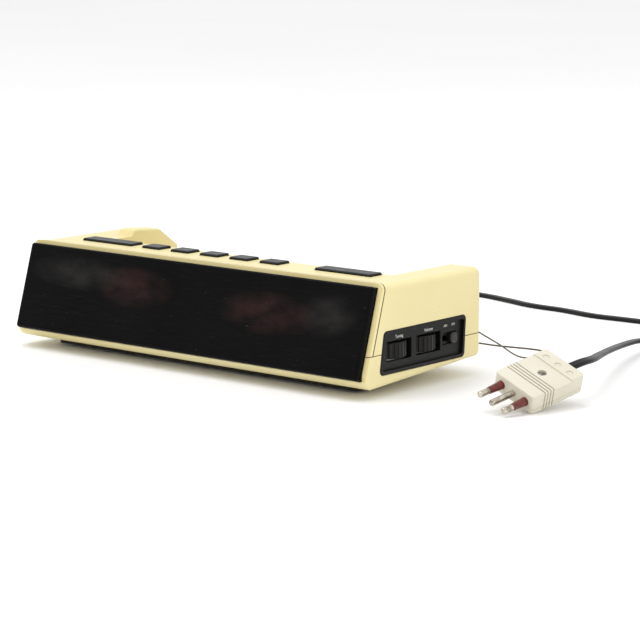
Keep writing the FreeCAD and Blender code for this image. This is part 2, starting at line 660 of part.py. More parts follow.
def hook_plunger():
    cap = rounded_box(HOOK_X - 7, HOOK_X + 7, HOOK_Y - 3, HOOK_Y + 3, HOOK_FLANGE_TOP - 1,
                      CRADLE_FLOOR + HOOK_PROUD, 2.0)
    top = [e for e in cap.Edges if e.BoundBox.ZMin > CRADLE_FLOOR + HOOK_PROUD - 0.01]
    cap = cap.makeFillet(1.2, top)
    flange = box(HOOK_X - 8.6, HOOK_X + 8.6, HOOK_Y - 4.6, HOOK_Y + 4.6, HOOK_FLANGE_TOP - 1.6, HOOK_FLANGE_TOP)
    stem = rod(V(HOOK_X, HOOK_Y, HOOK_BODY_TOP - 2.5), 2.0, V(0, 0, HOOK_FLANGE_TOP - HOOK_BODY_TOP + 1))
    return joined([cap, flange, stem])


def hook_switch():
    body = rounded_box(HOOK_X - 8, HOOK_X + 8, HOOK_Y - 6, HOOK_Y + 6, PHONE_TOP_Z, HOOK_BODY_TOP, 0.8)
    return body.cut(rod(V(HOOK_X, HOOK_Y, PHONE_TOP_Z + 2), 2.2, V(0, 0, 20)))


def hook_spring():
    wire_r, coil_r, turns, steps = 0.35, 3.2, 4, 10
    low, high = HOOK_BODY_TOP + wire_r + 0.05, HOOK_FLANGE_TOP - 1.6 - wire_r - 0.05
    points = []
    for i in range(turns * steps + 1):
        a = 2 * math.pi * i / steps
        z = low + (high - low) * i / (turns * steps)
        points.append(V(HOOK_X + coil_r * math.cos(a), HOOK_Y + coil_r * math.sin(a), z))
    ahead = points[1] - points[0]
    across = ahead.cross(V(0, 0, 1)).normalize()
    over = across.cross(ahead).normalize()
    section = []
    for i in range(6):
        a = math.pi * i / 3
        section.append(points[0] + across * (wire_r * math.cos(a)) + over * (wire_r * math.sin(a)))
    sweep = Part.BRepOffsetAPI.MakePipeShell(Part.makePolygon(points))
    sweep.setTransitionMode(1)
    sweep.add(Part.makePolygon(section + section[:1]), False, False)
    sweep.build()
    sweep.makeSolid()
    return sweep.shape()


# ---- rear and side connections ----
def mains_inlet():
    x, z, back = MAINS_X, REAR_EXITS_Z, REAR_Y - 0.2
    nose = rounded_box(x - 8, x + 8, 40.4, back, z - 4, z + 4, 3.2, V(0, 1, 0))
    flange = box(x - 10, x + 10, REAR_Y - WALL - 1.6, REAR_Y - WALL - 0.1, z - 4.7, z + 4.7)
    recess = rounded_box(x - 7, x + 7, 43.4, 60, z - 3.1, z + 3.1, 2.4, V(0, 1, 0))
    pins = [rod(V(x + dx, 42.9, z), 1.2, V(0, 11.5, 0)) for dx in (-4.3, 4.3)]
    return joined([joined([nose, flange]).cut(recess)] + pins)


def handset_jack():
    y, z, left = JACK_Y, JACK_Z, -HALF + 0.3
    body = box(left, -126.5, y - 6, y + 6, z - 5, z + 5)
    recess = box(-160, -131.5, y - 3.9, y + 3.9, z - 3.3, z + 3.3)
    latch = box(-160, -131.5, y - 1.6, y + 1.6, z - 4.3, z - 3.2)
    return body.cut(group([recess, latch]))


RELIEF_LENGTH = 16.0


def line_cord_relief():
    """A ribbed, tapered sleeve round the flat line cord where it leaves the rear wall."""
    start = V(LINE_EXIT_X, REAR_Y - WALL - 2.6, REAR_EXITS_Z)
    head = rod(start, 4.6, V(0, 2.5, 0))
    neck = rod(start, 3.3, V(0, WALL + 3.0, 0))
    taper = cone(V(LINE_EXIT_X, REAR_Y + 0.1, REAR_EXITS_Z), 4.3, 3.3, V(0, RELIEF_LENGTH - 0.1, 0))
    cuts = []
    for i in range(5):
        y = REAR_Y + 2.4 + i * 2.6
        ring = rod(V(LINE_EXIT_X, y, REAR_EXITS_Z), 6, V(0, 0.9, 0))
        cuts.append(ring.cut(rod(V(LINE_EXIT_X, y, REAR_EXITS_Z), 3.0, V(0, 0.9, 0))))
    return joined([head, neck, taper]).cut(group(cuts))


def wire_grommet():
    inner = rod(V(WIRE_EXIT_X, REAR_Y - WALL - 1.1, REAR_EXITS_Z), 2.6, V(0, 1, 0))
    neck = rod(V(WIRE_EXIT_X, REAR_Y - WALL - 1.1, REAR_EXITS_Z), 1.5, V(0, WALL + 1.5, 0))
    outer = rod(V(WIRE_EXIT_X, REAR_Y + 0.1, REAR_EXITS_Z), 2.5, V(0, 1.2, 0))
    return joined([inner, neck, outer])


# ---- free cords ----
LINE_START = V(LINE_EXIT_X, REAR_Y + RELIEF_LENGTH, REAR_EXITS_Z)
FLOOR_LINE = LINE_THICKNESS / 2
LINE_ROUTE = [
    (-66.5, 73, 30.5), (-66.5, 94, 29), (-68.5, 122, 13), (-72.5, 158, 2), (-80.5, 195, 1.5),
    (-84.5, 232, 1.5), (-74.5, 265, 1.5), (-50.5, 284, 1.5), (-24.5, 286.5, 1.5), (5.5, 278.5, 1.5), (31.5, 270, 1.5),
    (57.5, 270.5, 1.5), (85.5, 263, 1.5), (111.5, 265.5, 1.5), (139.5, 266, 1.5), (169.5, 273, 1.5),
    (198.5, 275.6, 1.5),
]
COIL_CENTRE = (198.5, 241)
COIL_R, COIL_INNER_R, COIL_HEIGHT = 34.6, 22.2, 6.2
LEAD_ROUTE = [
    (210.3, 208.5, 4.6), (197.1, 203.7, 4.6), (185.1, 190.3, 6.2), (180.7, 172.8, 8.4), (189, 143, 10.8),
    (202.5, 107, 14.2), (218.5, 71, 18), (231.5, 46, 21.2), (232.6, 30.9, 21.6), (230.4, 18.6, 19.0),
]
WIRE_ROUTE = [
    (120.5, 58.3, 30.5), (120.9, 64.5, 29.7), (124, 70.5, 25.2), (129.5, 75.5, 20.2), (133.5, 81, 16.1),
    (135, 89.5, 11.3), (136, 99, 5.2), (137.5, 108, 1.2), (140, 117.5, 0.6), (141, 127.5, 0.5),
    (137.5, 136, 0.5), (129, 140.5, 0.5), (117.5, 139.5, 0.5), (106.5, 137, 0.5), (95.5, 135, 0.5),
    (81.5, 136, 0.5), (63.5, 132, 0.5), (43.5, 122, 0.5), (25.5, 112, 0.5), (9.5, 107.2, 0.5),
]
HANK_CENTRE, HANK_R, HANK_INNER_R, HANK_HEIGHT = (9.5, 100), 7.2, 3.4, 3.4


def smooth_path(name, route):
    """Straight runs joined by tangent arcs, one at each inner point of the route."""
    points = [V(*p) for p in route]
    edges, start, radii = [], points[0], []
    for before, corner, after in zip(points, points[1:], points[2:]):
        arriving, leaving = corner - before, after - corner
        half_turn = arriving.getAngle(leaving) / 2
        cut = 0.45 * min(arriving.Length, leaving.Length)
        radius = cut / math.tan(half_turn)
        radii.append(radius)
        enter = corner - V(arriving).normalize() * cut
        leave = corner + V(leaving).normalize() * cut
        bisector = (V(leaving).normalize() - V(arriving).normalize()).normalize()
        middle = corner + bisector * (radius / math.cos(half_turn) - radius)
        edges.append(Part.LineSegment(start, enter).toShape())
        edges.append(Part.Arc(enter, middle, leave).toShape())
        start = leave
    edges.append(Part.LineSegment(start, points[-1]).toShape())
    path = Part.Wire(edges)
    print(f"{name}: length {path.Length:.0f} mm, arc radii " + " ".join(f"{r:.0f}" for r in radii))
    return path


def round_tube(name, route, diameter):
    path = smooth_path(name, route)
    start = V(*route[0])
    profile = Part.Wire(Part.makeCircle(diameter / 2, start, V(*route[1]) - start))
    tube = path.makePipeShell([profile], True, False)
    print(f"{name}: volume {tube.Volume:.0f}, section times length {math.pi * diameter ** 2 / 4 * path.Length:.0f}")
    return tube


def flat_tube(name, route, width, thickness):
    """The flat cord: a band with half-round edges, kept level as it follows its path."""
    path = smooth_path(name, route)
    start, ahead = V(*route[0]), (V(*route[1]) - V(*route[0])).normalize()
    across = ahead.cross(V(0, 0, 1)).normalize()
    normal = across.cross(ahead).normalize()
    flat, r = (width - thickness) / 2, thickness / 2
    corner = [start + across * (sx * flat) + normal * (sz * r) for sx, sz in ((-1, -1), (1, -1), (1, 1), (-1, 1))]
    right_edge, left_edge = start + across * (flat + r), start - across * (flat + r)
    profile = Part.Wire([
        Part.LineSegment(corner[0], corner[1]).toShape(),
        Part.Arc(corner[1], right_edge, corner[2]).toShape(),
        Part.LineSegment(corner[2], corner[3]).toShape(),
        Part.Arc(corner[3], left_edge, corner[0]).toShape(),
    ])
    sweep = Part.BRepOffsetAPI.MakePipeShell(path)
    sweep.setBiNormalMode(V(0, 0, 1))
    sweep.add(profile, False, False)
    sweep.build()
    sweep.makeSolid()
    tube = sweep.shape()
    section = 2 * flat * thickness + math.pi * r * r
    print(f"{name}: volume {tube.Volume:.0f}, section times length {section * path.Length:.0f}")
    return tube


def coil_ring(centre, outer_r, inner_r, width, height):
    x, y = centre
    ring = rod(V(x, y, 0), outer_r + width / 2, V(0, 0, height))
    return ring.cut(rod(V(x, y, -1), inner_r - width / 2, V(0, 0, height + 2)))


# ---- line plug, modelled level at its own centre and then laid down ----
def laid(shape):
    turn = FreeCAD.Rotation(V(0, 0, 1), PLUG_YAW)
    turn = turn.multiply(FreeCAD.Rotation(V(1, 0, 0), PLUG_PITCH))
    turn = turn.multiply(FreeCAD.Rotation(V(0, 1, 0), PLUG_ROLL))
    moved = shape.copy()
    moved.Placement = FreeCAD.Placement(PLUG_CENTRE, turn)
    return moved


PLUG_SPLIT = -2.6
SCREW_Y = 1.5
GRIP_SPOTS = (-12.2, -9.9, -7.6, -5.3)
HALF_W, HALF_L, HALF_H = PLUG_WIDTH / 2, PLUG_LENGTH / 2, PLUG_HEIGHT / 2


def plug_block():
    block = rounded_box(-HALF_W, HALF_W, -HALF_L, HALF_L, -HALF_H, HALF_H, 2.6)
    rims = [e for e in block.Edges if e.BoundBox.ZLength < 1e-4]
    return block.makeFillet(0.9, rims)


def plug_pin_ways():
    return [rod(V(x, -HALF_L - 1, 0), PIN_R, V(0, 9, 0)) for x in (-PIN_PITCH, 0, PIN_PITCH)]


def plug_flanks():
    """The grip grooves where they carry on down both sides of the plug."""
    cuts = []
    for y in GRIP_SPOTS:
        cuts += [box(x, x + 20, y, y + 0.9, -50, 50) for x in (HALF_W - 0.8, -HALF_W + 0.8 - 20)]
    return cuts


def plug_upper_half():
    shell = plug_block().common(box(-50, 50, -50, 50, PLUG_SPLIT, 50))
    waist = box(-50, 50, -3.4, 10.2, HALF_H - 0.7, 50)
    grips = [box(-50, 50, y, y + 0.9, HALF_H - 1.6, 50) for y in GRIP_SPOTS]
    dimples = [rod(V(x, 14.2, HALF_H - 0.5), 2.1, V(0, 0, 5)) for x in (-9.5, 0, 9.5)]
    well = rod(V(0, SCREW_Y, HALF_H - 3.6), 2.8, V(0, 0, 9))
    hollow = box(-HALF_W + 3, HALF_W - 3, -HALF_L + 8, HALF_L - 3, PLUG_SPLIT - 1, HALF_H - 4.5)
    post = rod(V(0, SCREW_Y, PLUG_SPLIT), 3.4, V(0, 0, HALF_H - 3.6 - PLUG_SPLIT))
    shell = shell.cut(group([waist, well, hollow] + grips + plug_flanks() + dimples))
    return joined([shell, post]).cut(group(plug_pin_ways() + [plug_screw_way(), plug_cord_way()]))


def plug_screw_way():
    return rod(V(0, SCREW_Y, -HALF_H + 1.5), 1.3, V(0, 0, 9))


def plug_cord_way():
    return box(-LINE_WIDTH / 2, LINE_WIDTH / 2, HALF_L - 3.5, HALF_L + 1, -LINE_THICKNESS / 2, LINE_THICKNESS / 2)


def plug_lower_half():
    shell = plug_block().common(box(-50, 50, -50, 50, -50, PLUG_SPLIT - 0.15))
    return shell.cut(group(plug_flanks() + plug_pin_ways() + [plug_screw_way(), plug_cord_way()]))


def plug_screw():
    head = rod(V(0, SCREW_Y, HALF_H - 3.6), 2.6, V(0, 0, 1.5))
    shank = rod(V(0, SCREW_Y, -HALF_H + 2.5), 1.25, V(0, 0, 7))
    slot = box(-0.35, 0.35, SCREW_Y - 3, SCREW_Y + 3, HALF_H - 2.8, HALF_H)
    return joined([head, shank]).cut(slot)


def plug_pins():
    pins = []
    for x in (-PIN_PITCH, 0, PIN_PITCH):
        pin = rod(V(x, -HALF_L - PIN_LENGTH, 0), PIN_R, V(0, PIN_LENGTH + 7.5, 0))
        tip = [e for e in pin.Edges if e.BoundBox.YMax < -HALF_L - PIN_LENGTH + 0.01 and e.isClosed()]
        pins.append(pin.makeFillet(1.2, tip))
    return group(pins)


def plug_sleeves():
    sleeves = []
    for x in (-PIN_PITCH, PIN_PITCH):
        sleeve = cone(V(x, -HALF_L - 10.5, 0), PIN_R + 0.15, PIN_R + 0.75, V(0, 10.5, 0))
        sleeves.append(sleeve.cut(rod(V(x, -HALF_L - 12, 0), PIN_R, V(0, 14, 0))))
    return group(sleeves)


PARTS = {
    "upper_shell": upper_shell,
    "lower_shell": lower_shell,
    "front_frame": front_frame,
    "base_plate": base_plate,
    "feet": feet,
    "housing_screws": housing_screws,
    "display_lens": display_lens,
    "display_mask": display_mask,
    "display_board": display_board,
    "key_board": key_board,
    "key_switches": key_switches,
    "control_panel": control_panel,
    "tuning_wheel": lambda: thumbwheel(TUNING_Y),
    "tuning_capacitor": tuning_capacitor,
    "volume_wheel": lambda: thumbwheel(VOLUME_Y),
    "volume_potentiometer": volume_potentiometer,
    "band_switch": band_switch,
    "band_knob": band_knob,
    "control_board": control_board,
    "main_board": main_board,
    "clock_chip": clock_chip,
    "small_chips": small_chips,
    "intermediate_cans": intermediate_cans,
    "filter_capacitors": filter_capacitors,
    "ferrite_rod": ferrite_rod,
    "antenna_coil": antenna_coil,
    "rod_clips": rod_clips,
    "phone_board": phone_board,
    "ringer": ringer,
    "hook_plunger": hook_plunger,
    "hook_switch": hook_switch,
    "hook_spring": hook_spring,
    "speaker_frame": speaker_frame,
    "speaker_cone": speaker_cone,
    "speaker_magnet": speaker_magnet,
    "transformer_core": transformer_core,
    "transformer_winding": transformer_winding,
    "mains_inlet": mains_inlet,
    "handset_jack": handset_jack,
    "line_cord_relief": line_cord_relief,
    "line_cord": lambda: flat_tube("line_cord", LINE_ROUTE, LINE_WIDTH, LINE_THICKNESS),
    "line_cord_coil": lambda: coil_ring(COIL_CENTRE, COIL_R, COIL_INNER_R, LINE_WIDTH, COIL_HEIGHT),
    "plug_lead": lambda: flat_tube("plug_lead", LEAD_ROUTE, LINE_WIDTH, LINE_THICKNESS),
    "plug_upper_half": lambda: laid(plug_upper_half()),
    "plug_lower_half": lambda: laid(plug_lower_half()),
    "plug_screw": lambda: laid(plug_screw()),
    "plug_pins": lambda: laid(plug_pins()),
    "plug_sleeves": lambda: laid(plug_sleeves()),
    "wire_grommet": wire_grommet,
    "antenna_wire": lambda: round_tube("antenna_wire", WIRE_ROUTE, WIRE_D),
    "antenna_wire_coil": lambda: coil_ring(HANK_CENTRE, HANK_R, HANK_INNER_R, WIRE_D, HANK_HEIGHT),
}
PARTS.update({name: (lambda u=u: led_display(u)) for name, u in DIGIT_SPOTS.items()})
PARTS.update({name: (lambda a=left, b=width: key(a, b)) for name, left, width in key_spans()})

for part_name, make in PARTS.items():
    shape = make()
    write(part_name, shape)
    print(f"{part_name}: valid {shape.isValid()}, {len(shape.Solids)} solid(s), {shape.Volume / 1000:.2f} cm3")
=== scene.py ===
"""A telephone clock radio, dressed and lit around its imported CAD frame."""

import json
import math

import bpy
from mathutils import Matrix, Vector


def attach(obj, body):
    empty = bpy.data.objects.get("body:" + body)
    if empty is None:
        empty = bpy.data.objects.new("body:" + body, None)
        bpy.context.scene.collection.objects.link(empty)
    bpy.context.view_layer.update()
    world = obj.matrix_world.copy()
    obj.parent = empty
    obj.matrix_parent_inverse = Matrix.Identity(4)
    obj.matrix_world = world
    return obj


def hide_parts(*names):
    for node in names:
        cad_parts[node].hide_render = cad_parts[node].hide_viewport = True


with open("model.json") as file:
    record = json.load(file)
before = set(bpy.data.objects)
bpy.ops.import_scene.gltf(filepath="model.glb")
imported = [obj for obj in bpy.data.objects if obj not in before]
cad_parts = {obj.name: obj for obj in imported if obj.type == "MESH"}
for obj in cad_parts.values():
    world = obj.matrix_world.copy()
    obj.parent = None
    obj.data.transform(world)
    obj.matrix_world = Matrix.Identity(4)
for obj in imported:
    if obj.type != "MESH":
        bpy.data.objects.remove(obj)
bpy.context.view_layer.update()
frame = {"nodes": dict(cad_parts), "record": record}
SCENE = bpy.context.scene
SCENE.view_settings.view_transform = "Standard"
MM = 0.001
BLACK, WHITE = (0, 0, 0, 1), (1, 1, 1, 1)


# ---------------------------------------------------------------- helpers
def linear(rgb):
    """8-bit sRGB to linear colour with alpha."""
    out = []
    for c in rgb:
        c = c / 255
        out.append(c / 12.92 if c <= 0.04045 else ((c + 0.055) / 1.055) ** 2.4)
    return (*out, 1.0)


class Maker:
    """Builds one procedural Principled material, coordinates in metres."""

    def __init__(self, name, rough, metallic=0.0, coat=0.0, specular=0.5):
        self.mat = bpy.data.materials.new(name)
        self.mat.use_nodes = True
        self.nodes = self.mat.node_tree.nodes
        self.links = self.mat.node_tree.links
        self.shader = self.nodes["Principled BSDF"]
        self.shader.inputs["Roughness"].default_value = rough
        self.shader.inputs["Metallic"].default_value = metallic
        self.shader.inputs["Coat Weight"].default_value = coat
        self.shader.inputs["Specular IOR Level"].default_value = specular
        self.place = self.nodes.new("ShaderNodeTexCoord").outputs["Object"]

    def stretched(self, scale):
        node = self.nodes.new("ShaderNodeMapping")
        node.inputs["Scale"].default_value = scale
        self.links.new(self.place, node.inputs["Vector"])
        return node.outputs["Vector"]

    def noise(self, scale, detail=3.0, stretch=(1, 1, 1), rough=0.5):
        node = self.nodes.new("ShaderNodeTexNoise")
        node.inputs["Scale"].default_value = scale
        node.inputs["Detail"].default_value = detail
        node.inputs["Roughness"].default_value = rough
        self.links.new(self.stretched(stretch), node.inputs["Vector"])
        return node.outputs["Fac"]

    def ramp(self, value, stops):
        node = self.nodes.new("ShaderNodeValToRGB")
        ramp = node.color_ramp
        while len(ramp.elements) < len(stops):
            ramp.elements.new(0.5)
        for element, (position, colour) in zip(ramp.elements, stops):
            element.position = position
            element.color = colour
        self.links.new(value, node.inputs["Fac"])
        return node.outputs["Color"]

    def scaled(self, value, low, high):
        node = self.nodes.new("ShaderNodeMapRange")
        node.inputs["To Min"].default_value = low
        node.inputs["To Max"].default_value = high
        self.links.new(value, node.inputs["Value"])
        return node.outputs["Result"]

    def math(self, kind, a, b=0.0):
        node = self.nodes.new("ShaderNodeMath")
        node.operation = kind
        for socket, value in zip(node.inputs, (a, b)):
            if isinstance(value, (int, float)):
                socket.default_value = value
            else:
                self.links.new(value, socket)
        return node.outputs["Value"]

    def mixed(self, share, a, b):
        node = self.nodes.new("ShaderNodeMix")
        node.data_type = "RGBA"
        # among the node's inputs, the plain factor and its two colours
        sockets = [node.inputs[0], node.inputs[6], node.inputs[7]]
        for socket, value in zip(sockets, (share, a, b)):
            if isinstance(value, (tuple, float, int)):
                socket.default_value = value
            else:
                self.links.new(value, socket)
        return node.outputs[2]

    def colour(self, value):
        self.links.new(value, self.shader.inputs["Base Color"])

    def roughness(self, value):
        self.links.new(value, self.shader.inputs["Roughness"])

    def bump(self, value, height, strength=1.0):
        node = self.nodes.new("ShaderNodeBump")
        node.inputs["Strength"].default_value = strength
        node.inputs["Distance"].default_value = height
        self.links.new(value, node.inputs["Height"])
        if self.shader.inputs["Normal"].is_linked:
            self.links.new(self.shader.inputs["Normal"].links[0].from_socket, node.inputs["Normal"])
        self.links.new(node.outputs["Normal"], self.shader.inputs["Normal"])

    def axis(self, name):
        node = self.nodes.new("ShaderNodeSeparateXYZ")
        self.links.new(self.place, node.inputs["Vector"])
        return node.outputs[name]


def moulded(name, light, dark, rough=0.38, grain=0.00005, specular=0.5, dirt=None):
    """Moulded plastic: faint mottling, a fine grain, roughness that varies, and specks of dirt."""
    m = Maker(name, rough, specular=specular)
    colour = m.ramp(m.noise(9.0, 4.0), [(0.32, linear(dark)), (0.66, linear(light))])
    if dirt:
        specks = m.ramp(m.noise(420.0, 2.0), [(0.72, BLACK), (0.77, WHITE)])
        colour = m.mixed(m.math("MULTIPLY", specks, 0.35), colour, linear(dirt))
    m.colour(colour)
    m.roughness(m.scaled(m.noise(60.0, 4.0), rough - 0.08, rough + 0.10))
    m.bump(m.noise(2600.0, 2.0), grain, 0.5)
    m.bump(m.noise(35.0, 1.0), 0.0004, 0.10)
    return m.mat


def metal(name, light, dark, rough=0.3, stretch=(1, 1, 1)):
    m = Maker(name, rough, metallic=1.0)
    m.colour(m.ramp(m.noise(300.0, 4.0, stretch), [(0.3, linear(dark)), (0.7, linear(light))]))
    m.roughness(m.scaled(m.noise(900.0, 3.0, stretch), rough - 0.1, rough + 0.15))
    m.bump(m.noise(1800.0, 2.0, stretch), 0.00003, 0.5)
    return m.mat


# ---------------------------------------------------------------- materials
# the front plane, and how far behind it the groove round the display's frame runs
LEAN = math.radians(16.7)
FRONT_OUT = (-math.cos(LEAN), math.sin(LEAN))
FRONT_AT = (-57.08 * MM, 11.52 * MM)
GROOVE_BEHIND = 3.4 * MM
PARTING_Z = 25.7 * MM


def near(m, value, centre, half_width):
    """1 where the value is within half a width of the centre, else 0."""
    return m.math("LESS_THAN", m.math("ABSOLUTE", m.math("SUBTRACT", value, centre)), half_width)


def ivory_case():
    m = Maker("case_ivory", 0.36, specular=0.42)
    tone = m.ramp(m.noise(7.0, 5.0), [(0.30, linear((222, 207, 148))), (0.68, linear((233, 221, 169)))])
    stain = m.ramp(m.noise(26.0, 6.0, rough=0.65), [(0.60, BLACK), (0.80, WHITE)])
    tone = m.mixed(m.math("MULTIPLY", stain, 0.16), tone, linear((218, 199, 138)))
    specks = m.ramp(m.noise(520.0, 2.0), [(0.74, BLACK), (0.78, WHITE)])
    tone = m.mixed(m.math("MULTIPLY", specks, 0.4), tone, linear((150, 132, 86)))
    y, z = m.axis("Y"), m.axis("Z")
    behind = m.math("ADD", m.math("MULTIPLY", m.math("SUBTRACT", y, FRONT_AT[0]), FRONT_OUT[0]),
                    m.math("MULTIPLY", m.math("SUBTRACT", z, FRONT_AT[1]), FRONT_OUT[1]))
    # painted shade: the frame's front lip, within 1.4 mm of the front plane, is darkened towards a brownish
    # yellow where its rounded edges and lower lip fall in shade
    lip_shade = m.scaled(m.noise(22.0, 4.0), 0.25, 0.75)
    tone = m.mixed(m.math("MULTIPLY", near(m, behind, 0.0, 1.4 * MM), lip_shade), tone, linear((190, 172, 108)))
    # painted shade: a dark line along the groove round the display's frame and along the parting line,
    # where shade falls in them
    groove = near(m, behind, -GROOVE_BEHIND, 0.45 * MM)
    groove = m.math("MULTIPLY", groove, m.math("GREATER_THAN", z, PARTING_Z))
    seam_shade = m.math("MAXIMUM", groove, near(m, z, PARTING_Z, 0.26 * MM))
    tone = m.mixed(m.math("MULTIPLY", seam_shade, 0.85), tone, linear((84, 70, 36)))
    m.colour(tone)
    m.roughness(m.scaled(m.noise(50.0, 5.0), 0.27, 0.44))
    m.bump(m.noise(2400.0, 2.0), 0.00005, 0.35)
    m.bump(m.noise(40.0, 1.0), 0.0004, 0.08)
    return m.mat


def smoked_lens():
    """Smoked acrylic: nearly black, rubbed along its length, with dim clouds near the displays."""
    m = Maker("lens_smoke", 0.2, specular=0.05)
    x, z = m.axis("X"), m.axis("Z")

    def cloud(centre_x, half_x, centre_z, half_z):
        """An ellipse in the x-z plane, in mm: 1 in its middle, fading to 0 at its edge."""
        across = m.math("DIVIDE", m.math("ABSOLUTE", m.math("SUBTRACT", x, centre_x * MM)), half_x * MM)
        up = m.math("DIVIDE", m.math("ABSOLUTE", m.math("SUBTRACT", z, centre_z * MM)), half_z * MM)
        far = m.math("ADD", m.math("POWER", across, 2.0), m.math("POWER", up, 2.0))
        return m.math("SUBTRACT", 1.0, m.math("MINIMUM", far, 1.0))

    blotches = m.ramp(m.noise(55.0, 4.0, (1, 1, 1.8)), [(0.28, BLACK), (0.72, WHITE)])
    red = m.math("MAXIMUM", cloud(-44, 34, 47, 13), cloud(66, 40, 43, 13))
    grey = m.math("MAXIMUM", cloud(-92, 46, 51, 11), cloud(112, 24, 47, 14))
    base = m.ramp(m.noise(14.0, 4.0), [(0.3, linear((5, 5, 5))), (0.7, linear((11, 10, 10)))])
    base = m.mixed(m.math("MULTIPLY", m.math("MULTIPLY", grey, blotches), 0.55), base, linear((52, 50, 49)))
    base = m.mixed(m.math("MULTIPLY", m.math("MULTIPLY", red, blotches), 0.55), base, linear((66, 42, 40)))
    hair = m.noise(60.0, 6.0, (1.0, 14.0, 34.0), 0.75)
    rubbed = m.ramp(hair, [(0.54, BLACK), (0.74, WHITE)])
    base = m.mixed(m.math("MULTIPLY", rubbed, 0.10), base, linear((84, 82, 82)))
    pits = m.ramp(m.noise(700.0, 2.0), [(0.76, BLACK), (0.79, WHITE)])
    base = m.mixed(m.math("MULTIPLY", pits, 0.35), base, linear((140, 136, 130)))
    m.colour(base)
    smear = m.noise(11.0, 3.0, (1.0, 3.0, 5.0))
    m.roughness(m.math("ADD", m.scaled(smear, 0.12, 0.30), m.math("MULTIPLY", rubbed, 0.08)))
    m.bump(hair, 0.00003, 0.5)
    return m.mat


def key_plastic():
    m = Maker("key_black", 0.30, specular=0.16)
    m.colour(m.ramp(m.noise(60.0, 4.0), [(0.3, linear((14, 14, 15))), (0.7, linear((26, 26, 27)))]))
    m.roughness(m.scaled(m.noise(160.0, 4.0, (1, 2, 1)), 0.24, 0.46))
    m.bump(m.noise(3000.0, 2.0), 0.00004, 0.4)
    return m.mat


def board():
    """Brown laminate with broad copper tracks under the lacquer."""
    m = Maker("board", 0.4)
    tracks = m.nodes.new("ShaderNodeTexBrick")
    tracks.inputs["Scale"].default_value = 90.0
    tracks.inputs["Mortar Size"].default_value = 0.04
    tracks.inputs["Color1"].default_value = linear((96, 74, 40))
    tracks.inputs["Color2"].default_value = linear((112, 86, 46))
    tracks.inputs["Mortar"].default_value = linear((150, 112, 58))
    m.links.new(m.place, tracks.inputs["Vector"])
    lacquer = m.scaled(m.noise(140.0, 4.0), 0.0, 0.5)
    m.colour(m.mixed(lacquer, tracks.outputs["Color"], linear((74, 56, 30))))
    m.bump(tracks.outputs["Fac"], 0.0001, 0.4)
    return m.mat


def wound_wire():
    m = Maker("copper_winding", 0.32, metallic=0.7)
    wave = m.nodes.new("ShaderNodeTexWave")
    wave.inputs["Scale"].default_value = 700.0
    m.links.new(m.place, wave.inputs["Vector"])
    m.colour(m.ramp(wave.outputs["Fac"], [(0.2, linear((92, 42, 20))), (0.8, linear((196, 112, 62)))]))
    m.bump(wave.outputs["Fac"], 0.0002, 0.7)
    return m.mat


def laminations():
    m = Maker("transformer_steel", 0.45, metallic=0.6)
    wave = m.nodes.new("ShaderNodeTexWave")
    wave.inputs["Scale"].default_value = 320.0
    m.links.new(m.place, wave.inputs["Vector"])
    m.colour(m.ramp(wave.outputs["Fac"], [(0.3, linear((48, 44, 40))), (0.7, linear((96, 90, 84)))]))
    m.bump(wave.outputs["Fac"], 0.0002, 0.6)
    return m.mat


def sleeve_red():
    m = Maker("sleeve_red", 0.33, coat=0.15)
    m.colour(m.ramp(m.noise(400.0, 4.0), [(0.3, linear((74, 20, 14))), (0.7, linear((118, 36, 27)))]))
    m.bump(m.noise(1500.0, 2.0), 0.00005, 0.4)
    return m.mat


MATERIALS = {
    "case_ivory": ivory_case(),
    # painted shade: the base under the front is given a near-black brown that stands in for the deep shade
    # the cream base sits in
    "plinth_dark": moulded("plinth_dark", (40, 36, 24), (22, 19, 12), 0.45, specular=0.2),
    "lens_smoke": smoked_lens(),
    "key_black": key_plastic(),
    "wheel_black": moulded("wheel_black", (24, 23, 22), (12, 11, 10), 0.30, specular=0.25),
    "panel_black": moulded("panel_black", (24, 23, 22), (14, 13, 12), 0.36, specular=0.18,
                           dirt=(110, 104, 92)),
    "knob_black": moulded("knob_black", (30, 29, 28), (16, 16, 16), 0.22, specular=0.45),
    "display_dark": moulded("display_dark", (58, 22, 18), (30, 10, 8), 0.25),
    "mask_black": moulded("mask_black", (24, 24, 24), (12, 12, 12), 0.6),
    "board": board(),
    "chip_black": moulded("chip_black", (38, 38, 40), (22, 22, 24), 0.5),
    "can_steel": metal("can_steel", (206, 206, 204), (150, 150, 150), 0.32),
    "capacitor_sleeve": moulded("capacitor_sleeve", (30, 52, 118), (14, 28, 76), 0.25),
    "clear_dielectric": moulded("clear_dielectric", (214, 214, 206), (180, 180, 170), 0.2),
    "ferrite": moulded("ferrite", (58, 58, 62), (34, 34, 38), 0.55),
    "copper_winding": wound_wire(),
    "steel": metal("steel", (190, 190, 186), (120, 118, 112), 0.34),
    "transformer_steel": laminations(),
    "paper_cone": moulded("paper_cone", (60, 56, 52), (34, 32, 30), 0.8, 0.0002),
    "jack_dark": moulded("jack_dark", (38, 37, 36), (22, 21, 20), 0.42),
    "brass_disc": metal("brass_disc", (224, 190, 110), (176, 142, 74), 0.3),
    "foot_rubber": moulded("foot_rubber", (34, 33, 32), (20, 20, 20), 0.75, 0.0001),
    "cord_black": moulded("cord_black", (24, 23, 22), (13, 12, 12), 0.34, specular=0.20),
    "plug_ivory": moulded("plug_ivory", (222, 217, 201), (202, 195, 174), 0.42, dirt=(132, 120, 96)),
    "pin_metal": metal("pin_metal", (216, 210, 196), (140, 130, 112), 0.22),
    "sleeve_red": sleeve_red(),
    "print_white": moulded("print_white", (226, 224, 216), (190, 188, 180), 0.5),
    "wire_brown": moulded("wire_brown", (96, 84, 66), (62, 52, 40), 0.35),
}
